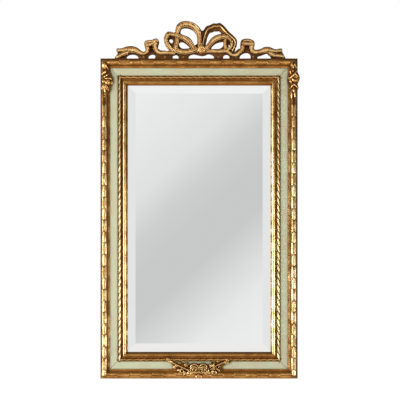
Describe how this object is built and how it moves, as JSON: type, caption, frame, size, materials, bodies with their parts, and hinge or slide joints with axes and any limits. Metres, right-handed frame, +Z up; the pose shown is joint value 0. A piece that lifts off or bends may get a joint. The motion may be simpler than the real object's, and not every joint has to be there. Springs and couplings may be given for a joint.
{
  "type": "wall mirror",
  "caption": "Upright giltwood and green painted wall mirror: laurel and rope mouldings, bevelled plate, pierced ribbon bow crest, rose cartouche, hung by folding rings.",
  "frame": {"origin": "on the wall plane, midway between the two hanging points, where the raised rings bear on their hooks", "axes": "+Z up the frame's height, -Y out of the mirror towards the viewer, +X to the viewer's right"},
  "size_m": [0.6572, 0.0585, 1.1803],
  "materials": {
    "bare_pine": "planed pine, toned brown, unvarnished",
    "green_paint": "matt sage green paint, lightly distressed",
    "gilt_wood": "carved wood, burnished gold leaf over brown bole, toned in the hollows",
    "plate_glass": "polished plate with a wide bevel",
    "silver_layer": "silvering with a protective coat",
    "backing_ply": "thin plywood sheet, sanded",
    "beech": "turned and sawn beech",
    "felt": "dense wool felt",
    "screw_steel": "bright steel screws",
    "brass_plate": "pressed brass, dulled",
    "zinc_steel": "zinc plated steel strip"
  },
  "bodies": {
    "frame": {"backing_board": "backing_ply", "carcass_bottom": "bare_pine", "carcass_left": "bare_pine", "carcass_right": "bare_pine", "carcass_top": "bare_pine", "cartouche_leaves": "gilt_wood", "corner_drop_left": "gilt_wood", "corner_drop_right": "gilt_wood", "corner_keys": "beech", "corner_plate_screws": "screw_steel", "corner_plates": "zinc_steel", "crest_bow": "gilt_wood", "crest_brace_screws": "screw_steel", "crest_braces": "zinc_steel", "crest_dowels": "beech", "crest_swag_left": "gilt_wood", "crest_swag_right": "gilt_wood", "frieze_bottom": "green_paint", "frieze_left": "green_paint", "frieze_right": "green_paint", "frieze_top": "green_paint", "hanger_screws": "screw_steel", "hanger_strap_left": "zinc_steel", "hanger_strap_right": "zinc_steel", "leaf_pendant": "gilt_wood", "mirror_plate": "plate_glass", "outer_moulding_bottom": "gilt_wood", "outer_moulding_left": "gilt_wood", "outer_moulding_right": "gilt_wood", "outer_moulding_top": "gilt_wood", "rebate_fillets": "bare_pine", "rope_bead_bottom": "gilt_wood", "rope_bead_left": "gilt_wood", "rope_bead_right": "gilt_wood", "rope_bead_top": "gilt_wood", "rose_left": "gilt_wood", "rose_right": "gilt_wood", "sight_moulding_bottom": "gilt_wood", "sight_moulding_left": "gilt_wood", "sight_moulding_right": "gilt_wood", "sight_moulding_top": "gilt_wood", "silvering": "silver_layer", "spray_left": "gilt_wood", "spray_right": "gilt_wood", "turn_button_screws": "screw_steel", "wall_pads": "felt"},
    "hanger_ring_left": {"hanger_ring_left": "zinc_steel"},
    "hanger_ring_right": {"hanger_ring_right": "zinc_steel"},
    "turn_button_1": {"turn_button_1": "brass_plate"},
    "turn_button_2": {"turn_button_2": "brass_plate"},
    "turn_button_3": {"turn_button_3": "brass_plate"},
    "turn_button_4": {"turn_button_4": "brass_plate"},
    "turn_button_5": {"turn_button_5": "brass_plate"},
    "turn_button_6": {"turn_button_6": "brass_plate"}
  },
  "joints": [
    {"name": "ring_left_swing", "type": "hinge", "parent": "frame", "child": "hanger_ring_left", "pos_m": [-0.284, -0.00345, -0.0225], "axis": [1, 0, 0], "range_deg": [0, 180]},
    {"name": "ring_right_swing", "type": "hinge", "parent": "frame", "child": "hanger_ring_right", "pos_m": [0.284, -0.00345, -0.0225], "axis": [1, 0, 0], "range_deg": [0, 180]},
    {"name": "button_1_turn", "type": "hinge", "parent": "frame", "child": "turn_button_1", "pos_m": [-0.251, -0.0065, -0.59256], "axis": [0, 1, 0], "continuous": true},
    {"name": "button_2_turn", "type": "hinge", "parent": "frame", "child": "turn_button_2", "pos_m": [0.251, -0.0065, -0.59256], "axis": [0, 1, 0], "continuous": true},
    {"name": "button_3_turn", "type": "hinge", "parent": "frame", "child": "turn_button_3", "pos_m": [-0.251, -0.0065, -0.04344], "axis": [0, 1, 0], "continuous": true},
    {"name": "button_4_turn", "type": "hinge", "parent": "frame", "child": "turn_button_4", "pos_m": [0.251, -0.0065, -0.04344], "axis": [0, 1, 0], "continuous": true},
    {"name": "button_5_turn", "type": "hinge", "parent": "frame", "child": "turn_button_5", "pos_m": [0, -0.0065, 0.136], "axis": [0, 1, 0], "continuous": true},
    {"name": "button_6_turn", "type": "hinge", "parent": "frame", "child": "turn_button_6", "pos_m": [0, -0.0065, -0.772], "axis": [0, 1, 0], "continuous": true}
  ]
}
